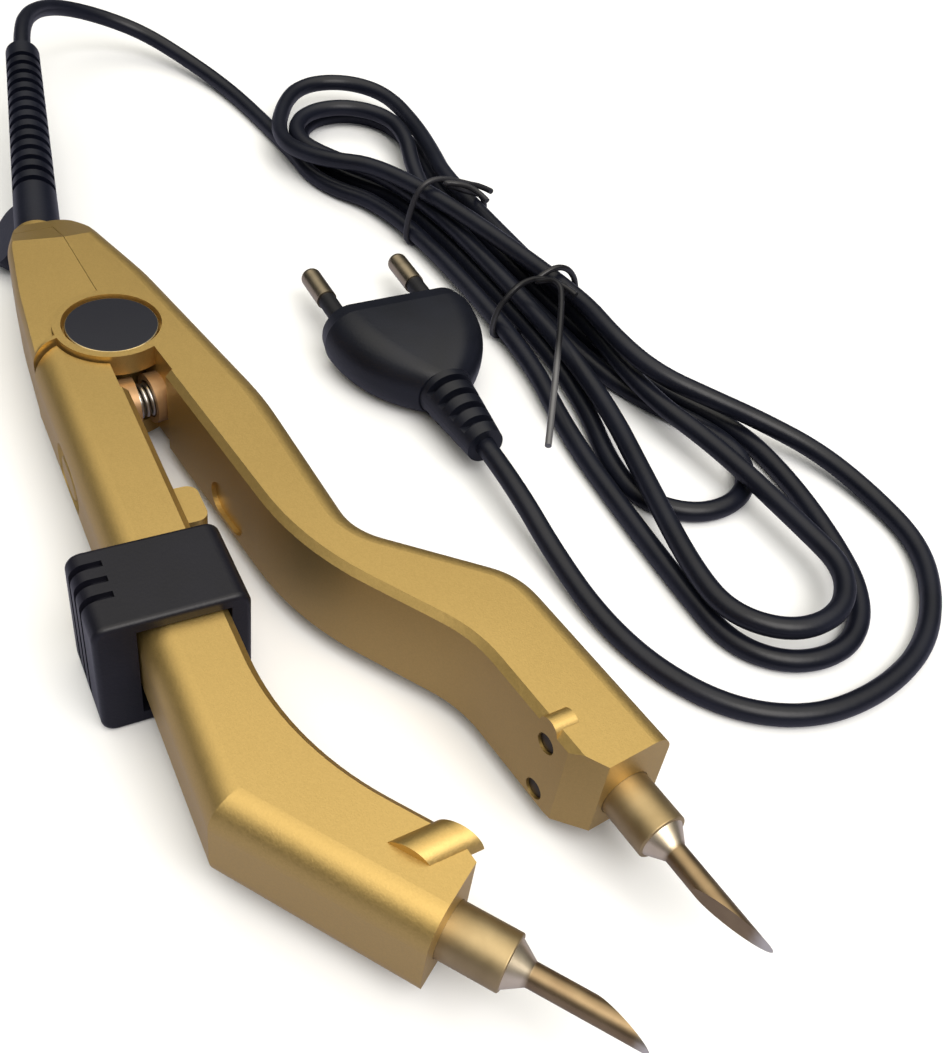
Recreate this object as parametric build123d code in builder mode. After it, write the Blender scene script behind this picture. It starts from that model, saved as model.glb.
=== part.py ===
from build123d import *
import os
from math import cos, pi, radians, sin, tan

# Hair extension iron: two hinged arms with heated tips, a sliding sleeve, a mains cord in a hank.
# The hinge axis stands at the working origin, +X runs from the hinge to the tips, +Y is the side
# of the fixed main arm, and z = 0 is the table. Everything is moved at the end so that the origin
# is under the middle of the iron.

# Heights
arm_bottom = 2.8
swing_top = 18.8
main_top = 19.8
barrel_height = 10.9
badge_top = 19.4

# Swinging arm: angles of its two runs and the offsets of its faces from the hinge axis
swing_angle = -4.1
swing_front_angle = 31.5
swing_inner = -2.8
swing_width = 11.0
swing_front_inner = -53.45
swing_front_width = 12.15
swing_front = 97.7
swing_bend_radius = 46.0

# Main arm: angles and offsets of its three runs
main_angle = 4.1
main_middle_angle = 30.3
main_front_angle = 4.2
main_inner = 3.5
main_middle_inner = -22.6
main_front_inner = 15.9
main_front_width = 12.1
main_front = 110.1
main_bend_radius = 50.0
main_shoulder_radius = 20.0
main_outer = ((25.0, 16.3), (57.5, 16.0), (75.0, 33.6))
main_outer_radii = (60.0, 10.0, 12.0)

# Walls, covers and running gaps
wall = 2.0
cover_thickness = 1.2
cover_pad = 1.2
cover_chamfer = 1.0
outer_round = 4.5
fit_gap = 0.1
moving_gap = 0.4
cover_rear = 15.6
pocket_rear = 17.5
front_wall = 1.6
corner_cut_long = 2.6
corner_cut_short = 1.4

# Hinge
hub_radius = 5.2
hub_bottom = 6.0
hub_top = 15.8
hub_gap = 0.3
pin_radius = 2.0
pin_fit = 0.05
pin_head_radius = 3.6
pin_head_height = 0.9
disc_radius = 9.4
closing_angle = 8.3
step_inner = (0.8, -8.7)
step_outer = (2.6, -13.8)
step_gap = 0.6

# Rear body
nose_end = -38.3
nose_left = -4.8
nose_right = 3.7
body_left = ((-29.5, -8.9), (-15.0, -11.5))
body_right = ((-30.0, 7.3), (-14.0, 11.0))
body_radii = (14.0, 60.0)
nose_corner_radius = 4.2
seam_side = 0.6
seam_gap = 0.1
cover_joint_height = 14.6
body_round = 3.2
rear_floor = 2.6
nose_radius = 4.9
nose_length = 4.6
nose_groove = 0.5
relief_angle = 166.0
relief_start = (-40.3, -0.8, 10.9)
relief_exit = (-101.8, 15.0, 18.0)
relief_radius = 4.25
relief_end_radius = 3.5
relief_neck_radius = 2.4
relief_neck_length = 10.3
relief_flange_radius = 3.0
relief_flange_thickness = 1.2
relief_slots = 14
relief_slot_width = 1.5
relief_slot_depth = 1.1
relief_slot_pitch = 3.4
relief_first_slot = 13.0
lug_disc_radius = 6.2
lug_disc_thickness = 4.0
lug_disc_tilt = 37.0
lug_disc_setback = 9.5
pocket_points = ((-31.2, -6.4), (-31.2, 0.3), (-9.8, 0.3), (-9.8, -9.0))
rear_screw_places = ((-25.5, -4.9), (-13.5, -6.4))
rear_post_radius = 1.9
rear_screw_head_radius = 1.9
rear_screw_head_height = 1.2
rear_screw_length = 7.0
panel_slope = 1.7
nose_slope_start = -27.0
nose_slope_drop = 3.4
tunnel_points = ((-16.0, -1.2), (-11.0, 7.4), (8.0, 11.0), (24.0, 9.3))
tunnel_radius = 2.2

# Badge
badge_radius = 7.6
badge_thickness = 1.5
badge_gap = 0.45

# Return spring and its seats
spring_station = 10.4
spring_height = 10.9
seat_radius = 4.2
seat_spigot_radius = 2.6
seat_spigot_length = 3.0
seat_bore_radius = 3.2
seat_floor = 0.85
swing_seat_face = 0.55
main_seat_face = 1.25
spring_radius = 2.5
spring_wire = 0.7
spring_turns = 5

# Sleeve
sleeve_station = 57.9
sleeve_length = 14.8
sleeve_outer_wall = 6.0
sleeve_inner_wall = 3.1
sleeve_height = 21.0
sleeve_fit = 0.3
sleeve_round = 2.2
groove_depth = 0.9
groove_width = 1.1
groove_pitch = 2.9
sleeve_back_travel = 3.0
sleeve_front_travel = 6.0

# Button on the outer side of the swinging arm
button_station = 24.5
button_height = 10.4
button_length = 8.4
button_width = 4.6
button_gap = 0.3
button_proud = 1.0
button_travel = 0.8
button_flange = 0.8
dish_length = 13.0
dish_width = 8.0
dish_depth = 1.0

# Stop lug on the swinging arm and its landing recess on the main arm
lug_station = 42.2
lug_length = 7.6
lug_low = 11.6
lug_high = 16.8
lug_reach = 3.5
recess_station = 36.5
recess_height = 7.6
recess_length = 10.5
recess_width = 6.0
recess_depth = 0.8

# Barrels, tips and what holds them
barrel_radius = 3.7
swing_barrel_length = 8.2
main_barrel_length = 7.6
shank_radius = 2.6
shank_length = 14.0
core_radius = 1.5
core_length = 17.0
bush_radius = 3.3
bush_length = 4.6
cone_length = 2.5
rod_radius = 1.6
swing_rod_length = 15.4
main_rod_length = 16.2
tip_spigot_length = 3.0
swing_barrel_place = (114.5, 0.2)
swing_barrel_angle = 32.0
swing_bevel_angle = 11.0
main_barrel_place = (108.3, 30.1)
main_barrel_angle = 3.6
main_bevel_angle = 19.3

# Front screws, driven across the arms, and their half-round bosses
screw_low = 5.8
screw_high = 15.9
screw_setback = 8.8
screw_head_radius = 1.5
screw_head_height = 1.0
screw_radius = 1.0
screw_length = 7.5
screw_boss_radius = 2.2
screw_sink = 1.4
swing_boss = (107.6, 17.2, 2.9)
swing_boss_reach = 4.7
main_boss = (99.7, 18.65, 1.8)
main_boss_reach = 2.3
front_strip_depth = 1.4

# Boards and wires
board_thickness = 1.2
board_gap = 0.1
control_board_offset = 8.8
switch_board_offset = -7.4
switch_body = (6.0, 6.0, 1.9)
plunger_radius = 1.2
plunger_height = 0.6
control_board_length = 26.0
control_board_station = 37.0
switch_board_length = 14.0
wire_radius = 0.6
wire_gap = 1.6

# Cord, hank, ties and plug
cord_diameter = 3.6
cord_height = cord_diameter / 2 + 0.05
hank_centre = 82.5
hank_left = -88.0
hank_right = 93.2
hank_short_right = 64.8
hank_pitch = 5.1
hank_end_inner = 11.0
hank_waist_inner = 2.1
hank_waist_pitch = 4.2
hank_taper_left = (-66.0, -44.0)
hank_taper_right = (12.0, 52.0)
hank_end = (14.0, 90.0)
layer_step = 4.2
tie_wire = 1.2
tie_lift = tie_wire + 0.15
tie_places = (-34.0, -2.0)
tie_tail_end = (45.0, 61.0, 8.0)
plug_face = (-0.4, 53.5)
plug_angle = 177.0
plug_width = 30.0
plug_thickness = 12.6
plug_length = 22.5
plug_tail_length = 15.7
plug_neck_radius = 5.0
plug_end_radius = 3.4
plug_pin_radius = 2.0
plug_pin_length = 19.0
plug_pin_spacing = 18.6
plug_sleeve_radius = 1.75
plug_sleeve_length = 10.0


def run_point(angle, station, offset):
    """Point at a station along a run's direction and an offset to its left."""
    a = radians(angle)
    return (station * cos(a) - offset * sin(a), station * sin(a) + offset * cos(a))


def meet(angle_a, offset_a, angle_b, offset_b):
    """Point where two lines cross, each given by its direction and its offset from the origin."""
    a, b = radians(angle_a), radians(angle_b)
    turn = sin(b - a)
    return (
        (offset_a * cos(b) - offset_b * cos(a)) / turn,
        (offset_a * sin(b) - offset_b * sin(a)) / turn,
    )


def side_plane(angle, station, offset, height):
    """Plane across an arm: its x runs along the arm, its y points up, its normal to the right."""
    x, y = run_point(angle, station, offset)
    a = radians(angle)
    return Plane(origin=(x, y, height), x_dir=(cos(a), sin(a), 0), z_dir=(sin(a), -cos(a), 0))


def run_plane(angle, place, height):
    """Plane square to a run: its normal points along the run."""
    a = radians(angle)
    return Plane(origin=(*place, height), x_dir=(-sin(a), cos(a), 0), z_dir=(cos(a), sin(a), 0))


def filled_outline(points, radii, low, high):
    """Solid between two heights over a closed outline with one radius for each corner."""
    with BuildPart() as solid:
        with BuildSketch(Plane.XY.offset(low)):
            with BuildLine():
                FilletPolyline(*points, radius=radii, close=True)
            make_face()
        extrude(amount=high - low)
    return solid.part


def swing_outline(inner_shift, inset, rear, cut_corner):
    """Corners and radii of the swinging arm's plan, inset from its outer faces."""
    outer = swing_inner - swing_width + inset
    front_outer = swing_front_inner - swing_front_width + inset
    inner = swing_inner + inner_shift
    front_inner = swing_front_inner + inner_shift
    front = swing_front - inset * front_wall / wall
    square = swing_front_angle + 90
    points = [
        run_point(swing_angle, rear, outer),
        meet(swing_angle, outer, swing_front_angle, front_outer),
        meet(swing_front_angle, front_outer, square, -front),
    ]
    radii = [0, 0, 0]
    if cut_corner:
        points.append(run_point(swing_front_angle, front, front_inner - corner_cut_short))
        points.append(run_point(swing_front_angle, front - corner_cut_long, front_inner))
        radii += [0, 0]
    else:
        points.append(meet(swing_front_angle, front_inner, square, -front))
        radii.append(0)
    points.append(meet(swing_angle, inner, swing_front_angle, front_inner))
    points.append(run_point(swing_angle, rear, inner))
    radii += [swing_bend_radius - inner_shift, 0]
    return points, radii


def main_inner_points(shift, rear, front, cut_corner):
    """Corners and radii of the main arm's inner side, from its front back to a station."""
    middle = main_middle_inner - shift
    first = main_inner - shift
    last = main_front_inner - shift
    square = main_front_angle + 90
    if cut_corner:
        points = [
            run_point(main_front_angle, front, last + corner_cut_short),
            run_point(main_front_angle, front - corner_cut_long, last),
        ]
        radii = [0, 0]
    else:
        points = [meet(main_front_angle, last, square, -front)]
        radii = [0]
    points.append(meet(main_front_angle, last, main_middle_angle, middle))
    points.append(meet(main_middle_angle, middle, main_angle, first))
    points.append(run_point(main_angle, rear, first))
    radii += [main_shoulder_radius, main_bend_radius, 0]
    return points, radii


def outer_line_height(x):
    """Y of the straight lines between the main arm's outer corners, at a given x."""
    corners = [(nose_end, nose_right), *body_right, *main_outer, run_point(main_front_angle, main_front, 28)]
    for (x0, y0), (x1, y1) in zip(corners, corners[1:]):
        if x <= x1:
            return y0 + (y1 - y0) * (x - x0) / (x1 - x0)
    return corners[-1][1]


def on_line(edge, angle, offset):
    """True where the middle of an edge lies on a line in plan."""
    a = radians(angle)
    middle = edge.position_at(0.5)
    return abs(middle.Y * cos(a) - middle.X * sin(a) - offset) < 0.3


def swing_blank(inner_shift, inset, low, high, radius, rear, cut_corner):
    """Body between the swinging arm's faces with its outer edges rounded."""
    points, radii = swing_outline(inner_shift, inset, rear, cut_corner)
    blank = filled_outline(points, radii, low, high)
    first = swing_inner - swing_width + inset
    front = swing_front_inner - swing_front_width + inset
    chosen = [
        edge
        for level in (low, high)
        for edge in blank.edges().filter_by_position(Axis.Z, level - 0.01, level + 0.01)
        if on_line(edge, swing_angle, first) or on_line(edge, swing_front_angle, front)
    ]
    return blank.fillet(radius, chosen)


def main_blank():
    """Rear body and main arm in one outline, with every outer edge rounded."""
    inner, inner_radii = main_inner_points(0, 1.0, main_front, True)
    outer_corner = run_point(main_front_angle, main_front, main_front_inner + main_front_width)
    points = [(nose_end, nose_left), (nose_end, nose_right), *body_right, *main_outer, outer_corner]
    points += [*inner, step_inner, step_outer, *reversed(body_left)]
    radii = [nose_corner_radius, nose_corner_radius, *body_radii, *main_outer_radii, 0]
    radii += [*inner_radii, 0, 0, *reversed(body_radii)]
    blank = filled_outline(points, radii, arm_bottom, main_top)
    chosen = []
    for level in (arm_bottom, main_top):
        for edge in blank.edges().filter_by_position(Axis.Z, level - 0.01, level + 0.01):
            middle = edge.position_at(0.5)
            right = middle.Y > outer_line_height(middle.X) - 2.5 and middle.X < main_front - 4
            left = middle.Y < nose_left - 0.5 and middle.X < step_inner[0] + 0.2
            if right or left or middle.X < nose_end + 1.5:
                chosen.append(edge)
    return blank.fillet(body_round, chosen)


def chamfer_inner(solid, levels, lines, arcs, length):
    """Chamfers the long edges of a cover's face, given its straight lines and its arc radii."""
    chosen = []
    for level in levels:
        for edge in solid.edges().filter_by_position(Axis.Z, level - 0.01, level + 0.01):
            straight = any(on_line(edge, angle, offset) for angle, offset in lines)
            curved = edge.geom_type == GeomType.CIRCLE and any(abs(edge.radius - r) < 0.1 for r in arcs)
            if curved or (straight and edge.geom_type == GeomType.LINE):
                chosen.append(edge)
    return solid.chamfer(length, None, chosen)


def front_wedge(angle, front):
    """Tool that lifts the underside of an arm towards its front face."""
    with BuildPart() as tool:
        with BuildSketch(side_plane(angle, front, 0, arm_bottom)):
            with BuildLine():
                Polyline((-11, -1), (-11, 0), (-4.5, 1.3), (0, 2.8), (2, 3.7), (2, -1), close=True)
            make_face()
        extrude(amount=80, both=True)
    return tool.part


def across(angle, station, offset, height, radius, length):
    """Cylinder across an arm, from an offset towards the right."""
    with BuildPart() as solid:
        with BuildSketch(side_plane(angle, station, offset, height)):
            Circle(radius)
        extrude(amount=length)
    return solid.part


def half_round(place, low, floor):
    """Round bar across the arms, from a y outwards, kept above a floor height."""
    x, height, radius = place
    with BuildPart() as bar:
        with BuildSketch(Plane(origin=(x, low + 20, height), x_dir=(1, 0, 0), z_dir=(0, -1, 0))):
            Circle(radius)
        extrude(amount=20)
        with BuildSketch(Plane.XY):
            with Locations((x, low + 10)):
                Rectangle(4 * radius, 30)
        extrude(amount=floor, mode=Mode.SUBTRACT)
    return bar.part


def beside(angle, near, far):
    """Tall slab between two offsets from a run's line."""
    with BuildPart() as slab:
        with BuildSketch(Plane.XY):
            with BuildLine():
                Polyline(
                    run_point(angle, 40, near),
                    run_point(angle, 160, near),
                    run_point(angle, 160, far),
                    run_point(angle, 40, far),
                    close=True,
                )
            make_face()
        extrude(amount=40)
    return slab.part


def front_strip(angle, front, face, side):
    """Strip behind an arm's front wall that closes the pocket beside the cover's end."""
    with BuildPart() as strip:
        with BuildSketch(Plane.XY.offset(arm_bottom)):
            with BuildLine():
                Polyline(
                    run_point(angle, front - facet_back - 0.6, face),
                    run_point(angle, front - 0.5, face),
                    run_point(angle, front - 0.5, face + side * front_strip_depth),
                    run_point(angle, front - facet_back - 0.6, face + side * front_strip_depth),
                    close=True,
                )
            make_face()
        extrude(amount=main_top - arm_bottom)
    return strip.part


facet_back = corner_cut_long * (1 + cover_thickness / corner_cut_short)

# Swinging arm housing
swing_body = swing_blank(0, 0, arm_bottom, swing_top, outer_round, -4, True)
swing_screw_station = swing_front - screw_setback
with BuildPart() as swing_bosses:
    for screw_height in (screw_low, screw_high):
        boss_start = swing_front_inner - cover_pad - fit_gap
        add(across(swing_front_angle, swing_screw_station, boss_start, screw_height, screw_boss_radius, 14))
with BuildPart() as swing_arm_shell:
    add(swing_body)
    step_x = step_inner[0] + step_gap
    step_lean = (step_outer[0] - step_inner[0]) / (step_outer[1] - step_inner[1])
    with BuildSketch(Plane.XY):
        with BuildLine():
            Polyline(
                (step_x + step_lean * (-1 - step_inner[1]), -1),
                (step_x + step_lean * (-20 - step_inner[1]), -20),
                (-20, -20),
                (-20, -1),
                close=True,
            )
        make_face()
    extrude(amount=main_top, mode=Mode.SUBTRACT)
    for low, high in ((0, hub_bottom), (hub_top, main_top)):
        with BuildSketch(Plane.XY.offset(low)):
            Circle(disc_radius + moving_gap)
        extrude(amount=high - low, mode=Mode.SUBTRACT)
    with BuildSketch(Plane.XY.offset(hub_bottom)):
        Circle(hub_radius)
    extrude(amount=hub_top - hub_bottom)
    with BuildSketch(Plane.XY):
        Circle(pin_radius + pin_fit)
    extrude(amount=main_top, mode=Mode.SUBTRACT)
    add(
        swing_blank(0.5, wall, arm_bottom + wall, swing_top - wall, outer_round - wall, pocket_rear, False),
        mode=Mode.SUBTRACT,
    )
    add(swing_bosses.part & swing_body)
    add(front_strip(swing_front_angle, swing_front, swing_front_inner, -1) & swing_body)
    # Half-round boss that breaks through the top near the front
    swing_bar = half_round(swing_boss, -10, swing_top - 1.0)
    add(swing_bar & beside(swing_front_angle, swing_front_inner, swing_front_inner - swing_boss_reach))
    for screw_height in (screw_low, screw_high):
        add(
            across(swing_front_angle, swing_screw_station, swing_front_inner, screw_height,
                   screw_boss_radius + fit_gap, cover_pad + fit_gap),
            mode=Mode.SUBTRACT,
        )
        add(
            across(swing_front_angle, swing_screw_station, swing_front_inner, screw_height,
                   screw_radius + 0.05, 10),
            mode=Mode.SUBTRACT,
        )
    with BuildSketch(run_plane(swing_barrel_angle, swing_barrel_place, barrel_height)):
        Circle(barrel_radius + fit_gap)
    extrude(amount=3, both=True, mode=Mode.SUBTRACT)
    # Dish and opening for the button
    with BuildSketch(side_plane(swing_angle, button_station, swing_inner - swing_width, button_height)):
        SlotOverall(dish_length, dish_width)
    extrude(amount=-dish_depth, taper=30, mode=Mode.SUBTRACT)
    with BuildSketch(side_plane(swing_angle, button_station, swing_inner - swing_width, button_height)):
        SlotOverall(button_length + 2 * button_gap, button_width + 2 * button_gap)
    extrude(amount=-wall - 1, mode=Mode.SUBTRACT)
    # Seat for the spring cup
    add(
        across(swing_angle, spring_station, swing_inner, spring_height,
               seat_spigot_radius + fit_gap / 2, 3.2),
        mode=Mode.SUBTRACT,
    )
    add(front_wedge(swing_front_angle, swing_front), mode=Mode.SUBTRACT)

# Inner cover of the swinging arm, with the stop lug
swing_face = swing_inner + cover_thickness
swing_front_face = swing_front_inner + cover_thickness
swing_cover_points = [
    run_point(swing_angle, cover_rear, swing_inner),
    meet(swing_angle, swing_inner, swing_front_angle, swing_front_inner),
    run_point(swing_front_angle, swing_front - corner_cut_long, swing_front_inner),
    run_point(swing_front_angle, swing_front - facet_back, swing_front_face),
    meet(swing_angle, swing_face, swing_front_angle, swing_front_face),
    run_point(swing_angle, cover_rear, swing_face),
]
swing_cover_radii = [0, swing_bend_radius, 0, 0, swing_bend_radius - cover_thickness, 0]
swing_plate = chamfer_inner(
    filled_outline(swing_cover_points, swing_cover_radii, arm_bottom, swing_top),
    (arm_bottom, swing_top),
    ((swing_angle, swing_face), (swing_front_angle, swing_front_face)),
    (swing_bend_radius - cover_thickness,),
    cover_chamfer,
)
with BuildPart() as swing_arm_cover:
    add(swing_plate)
    add(swing_bar & beside(swing_front_angle, swing_front_inner, swing_front_face))
    for screw_height in (screw_low, screw_high):
        add(
            across(swing_front_angle, swing_screw_station, swing_front_face - 0.3, screw_height,
                   screw_boss_radius, cover_thickness - 0.3 + cover_pad)
        )
        add(
            across(swing_front_angle, swing_screw_station, swing_front_face, screw_height,
                   screw_head_radius + fit_gap, screw_sink),
            mode=Mode.SUBTRACT,
        )
        add(
            across(swing_front_angle, swing_screw_station, swing_front_face, screw_height,
                   screw_radius + fit_gap, 4),
            mode=Mode.SUBTRACT,
        )
    lug_centre = run_point(swing_angle, lug_station, swing_face + lug_reach / 2 - 0.3)
    lug_along = (cos(radians(swing_angle)), sin(radians(swing_angle)), 0)
    with BuildSketch(Plane(origin=(*lug_centre, lug_low), x_dir=lug_along)) as lug:
        Rectangle(lug_length, lug_reach + 0.6)
        fillet(lug.vertices().group_by(Axis.Y)[-1], 1.8)
    extrude(amount=lug_high - lug_low)
    add(front_wedge(swing_front_angle, swing_front), mode=Mode.SUBTRACT)

# Main arm housing with the rear body and the hinge plates
main_body = main_blank()
with BuildPart() as disc:
    with BuildSketch(Plane.XY.offset(arm_bottom)):
        Circle(disc_radius)
    extrude(amount=main_top - arm_bottom)
main_body = main_body + disc.part
with BuildPart() as nose_slope:
    with BuildSketch(Plane.XZ):
        with BuildLine():
            Polyline(
                (nose_slope_start, main_top),
                (nose_end, main_top - nose_slope_drop),
                (nose_end - 10, main_top - nose_slope_drop),
                (nose_end - 10, main_top + 5),
                (nose_slope_start, main_top + 5),
                close=True,
            )
        make_face()
    extrude(amount=40, both=True)
main_body = main_body - nose_slope.part
main_screw_station = main_front - screw_setback
with BuildPart() as main_bosses:
    for screw_height in (screw_low, screw_high):
        add(across(main_front_angle, main_screw_station, main_front_inner + 14, screw_height,
                   screw_boss_radius, 14 - cover_pad - fit_gap))


def cover_region(grow):
    """Left top region of the rear body that the rear cover fills, grown by a gap."""
    with BuildPart() as region:
        with BuildSketch(Plane.XY.offset(cover_joint_height)):
            with BuildLine():
                Polyline(
                    (nose_slope_start - 7 - grow, seam_side + grow),
                    (0, seam_side + grow),
                    (step_inner[0] - (1 - grow), step_inner[1]),
                    (step_outer[0] + 2, step_outer[1] - 5),
                    (nose_slope_start - 7 - grow, -20),
                    close=True,
                )
            make_face()
            Circle(disc_radius + seam_gap - grow, mode=Mode.SUBTRACT)
        extrude(amount=10)
    return region.part


def main_pocket():
    """Hollow of the main arm, open towards its inner cover."""
    inner, inner_radii = main_inner_points(0.5, pocket_rear, main_front - front_wall, False)
    last = main_front_inner + main_front_width - wall
    shift = wall * 0.75
    outer = [(x - 0.2, y - wall) for x, y in main_outer[:1]]
    outer += [(main_outer[1][0] + shift * 0.5, main_outer[1][1] - wall)]
    outer += [meet(45, (main_outer[2][1] - main_outer[2][0]) * cos(pi / 4) - wall, main_front_angle, last)]
    corner = run_point(main_front_angle, main_front - front_wall, last)
    rear = (run_point(main_angle, pocket_rear, main_inner)[0], main_outer[0][1] - wall)
    points = [rear, outer[1], outer[2], corner, *inner]
    radii = [0, 8, 10, 0, *inner_radii]
    return filled_outline(points, radii, arm_bottom + wall, main_top - wall)


with BuildPart() as tunnel:
    with BuildLine(Plane.XY.offset(relief_start[2])) as tunnel_path:
        FilletPolyline(*tunnel_points, radius=(3, 8))
    with BuildSketch(tunnel_path.line ^ 0):
        Circle(tunnel_radius)
    sweep()

with BuildPart() as main_arm_shell:
    add(main_body)
    add(cover_region(seam_gap), mode=Mode.SUBTRACT)
    add(main_pocket(), mode=Mode.SUBTRACT)
    add(main_bosses.part & main_body)
    # Room for the hub and for the swinging arm behind the jaw
    room_low = hub_bottom - hub_gap
    with BuildSketch(Plane.XY.offset(room_low)):
        Circle(hub_radius + moving_gap)
        with BuildLine():
            Polyline(
                (step_inner[0] - 1.2, -5.0),
                (step_outer[0], step_outer[1]),
                (step_outer[0] + 1, -20),
                (30, -20),
                run_point(main_angle, 30, main_inner),
                run_point(main_angle, 3, main_inner),
                close=True,
            )
        make_face()
    extrude(amount=hub_top + hub_gap - room_low, mode=Mode.SUBTRACT)
    # Hinge pin, badge recess
    with BuildSketch(Plane.XY):
        Circle(pin_radius + pin_fit)
    extrude(amount=main_top, mode=Mode.SUBTRACT)
    badge_floor = badge_top - badge_thickness
    with BuildSketch(Plane.XY.offset(badge_floor - pin_head_height)):
        Circle(pin_head_radius + fit_gap)
    extrude(amount=3, mode=Mode.SUBTRACT)
    with BuildSketch(Plane.XY.offset(badge_floor)):
        Circle(badge_radius + badge_gap)
    extrude(amount=3, mode=Mode.SUBTRACT)
    # Rear hollow, wire tunnel and screw holes
    with BuildSketch(Plane.XY.offset(arm_bottom + rear_floor)):
        with BuildLine():
            Polyline(*pocket_points, close=True)
        make_face()
    extrude(amount=cover_joint_height - arm_bottom - rear_floor, mode=Mode.SUBTRACT)
    add(tunnel.part, mode=Mode.SUBTRACT)
    with Locations(*[(x, y, arm_bottom) for x, y in rear_screw_places]):
        Cylinder(rear_screw_head_radius + fit_gap, 1.5, align=(Align.CENTER, Align.CENTER, Align.MIN),
                 mode=Mode.SUBTRACT)
        Cylinder(screw_radius + fit_gap, 5, align=(Align.CENTER, Align.CENTER, Align.MIN),
                 mode=Mode.SUBTRACT)
    # Nose collar with its groove and the bore for the strain relief
    nose_plane = run_plane(relief_angle - 180, relief_start[:2], relief_start[2])
    with BuildSketch(nose_plane):
        Circle(nose_radius)
    extrude(amount=nose_length)
    with BuildSketch(nose_plane.offset(1.2)):
        Circle(nose_radius + 1)
        Circle(nose_radius - nose_groove, mode=Mode.SUBTRACT)
    extrude(amount=0.7, mode=Mode.SUBTRACT)
    with BuildSketch(nose_plane):
        Circle(relief_neck_radius + fit_gap / 2)
    extrude(amount=relief_neck_length + 2, mode=Mode.SUBTRACT)
    add(front_strip(main_front_angle, main_front, main_front_inner, 1) & main_body)
    # Half-round boss near the front
    main_bar = half_round(main_boss, 15, main_top - 1.0)
    add(main_bar & beside(main_front_angle, main_front_inner, main_front_inner + main_boss_reach))
    for screw_height in (screw_low, screw_high):
        add(
            across(main_front_angle, main_screw_station, main_front_inner + cover_pad + fit_gap,
                   screw_height, screw_boss_radius + fit_gap, cover_pad + fit_gap + 0.01),
            mode=Mode.SUBTRACT,
        )
        add(
            across(main_front_angle, main_screw_station, main_front_inner + 10, screw_height,
                   screw_radius + 0.05, 10.5),
            mode=Mode.SUBTRACT,
        )
    with BuildSketch(run_plane(main_barrel_angle, main_barrel_place, barrel_height)):
        Circle(barrel_radius + fit_gap)
    extrude(amount=3, both=True, mode=Mode.SUBTRACT)
    add(
        across(main_angle, spring_station, main_inner + 3.2, spring_height,
               seat_spigot_radius + fit_gap / 2, 3.7),
        mode=Mode.SUBTRACT,
    )
    add(front_wedge(main_front_angle, main_front), mode=Mode.SUBTRACT)

# Rear cover, with its two screw posts
with BuildPart() as rear_cover:
    add(main_body & cover_region(0))
    with BuildSketch(Plane.YZ.offset(nose_end - 10)):
        with BuildLine():
            panel_low = (-16, main_top - panel_slope)
            Polyline((seam_side, main_top), panel_low, (-16, 30), (seam_side, 30), close=True)
        make_face()
    extrude(amount=60, mode=Mode.SUBTRACT)
    with BuildSketch(Plane.XY.offset(arm_bottom + rear_floor)):
        with Locations(*rear_screw_places):
            Circle(rear_post_radius)
    extrude(amount=cover_joint_height - arm_bottom - rear_floor)
    with BuildSketch(Plane.XY):
        with Locations(*rear_screw_places):
            Circle(screw_radius + fit_gap)
    extrude(amount=arm_bottom + 1.5 + rear_screw_length, mode=Mode.SUBTRACT)

with BuildPart() as rear_screws:
    with BuildSketch(Plane.XY.offset(arm_bottom + 1.5 - rear_screw_head_height)):
        with Locations(*rear_screw_places):
            Circle(rear_screw_head_radius)
    extrude(amount=rear_screw_head_height)
    with BuildSketch(Plane.XY.offset(arm_bottom + 1.5)):
        with Locations(*rear_screw_places):
            Circle(screw_radius)
    extrude(amount=rear_screw_length - 0.5)

# Inner cover of the main arm
main_plate_outer, main_plate_outer_radii = main_inner_points(
    0, cover_rear, main_front - corner_cut_long, False
)
main_plate_inner = main_inner_points(cover_thickness, cover_rear, main_front - facet_back, False)[0]
main_plate_inner_radii = [0, main_shoulder_radius + cover_thickness, main_bend_radius - cover_thickness, 0]
main_face = main_inner - cover_thickness
main_middle_face = main_middle_inner - cover_thickness
main_front_face = main_front_inner - cover_thickness
main_plate = chamfer_inner(
    filled_outline(
        main_plate_outer + main_plate_inner[::-1],
        main_plate_outer_radii + main_plate_inner_radii[::-1],
        arm_bottom,
        main_top,
    ),
    (arm_bottom, main_top),
    ((main_angle, main_face), (main_middle_angle, main_middle_face), (main_front_angle, main_front_face)),
    (main_shoulder_radius + cover_thickness, main_bend_radius - cover_thickness),
    cover_chamfer,
)
with BuildPart() as main_arm_cover:
    add(main_plate)
    add(main_bar & beside(main_front_angle, main_front_inner, main_front_face))
    for screw_height in (screw_low, screw_high):
        pad_end = main_front_inner + cover_pad
        add(
            across(main_front_angle, main_screw_station, pad_end, screw_height, screw_boss_radius,
                   cover_pad + cover_thickness - 0.3)
        )
        add(
            across(main_front_angle, main_screw_station, main_front_face + screw_sink, screw_height,
                   screw_head_radius + fit_gap, screw_sink + 1),
            mode=Mode.SUBTRACT,
        )
        add(
            across(main_front_angle, main_screw_station, pad_end + 1, screw_height,
                   screw_radius + fit_gap, 4),
            mode=Mode.SUBTRACT,
        )
    with BuildSketch(side_plane(main_angle, recess_station, main_face, recess_height)):
        SlotOverall(recess_length, recess_width)
    extrude(amount=-recess_depth, mode=Mode.SUBTRACT)
    add(front_wedge(main_front_angle, main_front), mode=Mode.SUBTRACT)

# Hinge pin, its washer and the badge over it
with BuildPart() as hinge_pin:
    with BuildSketch(Plane.XY.offset(arm_bottom + 0.6)):
        Circle(pin_radius)
    extrude(amount=badge_floor - pin_head_height - arm_bottom - 0.6)
    with BuildSketch(Plane.XY.offset(badge_floor - pin_head_height)):
        Circle(pin_head_radius)
    extrude(amount=pin_head_height - fit_gap)

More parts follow.
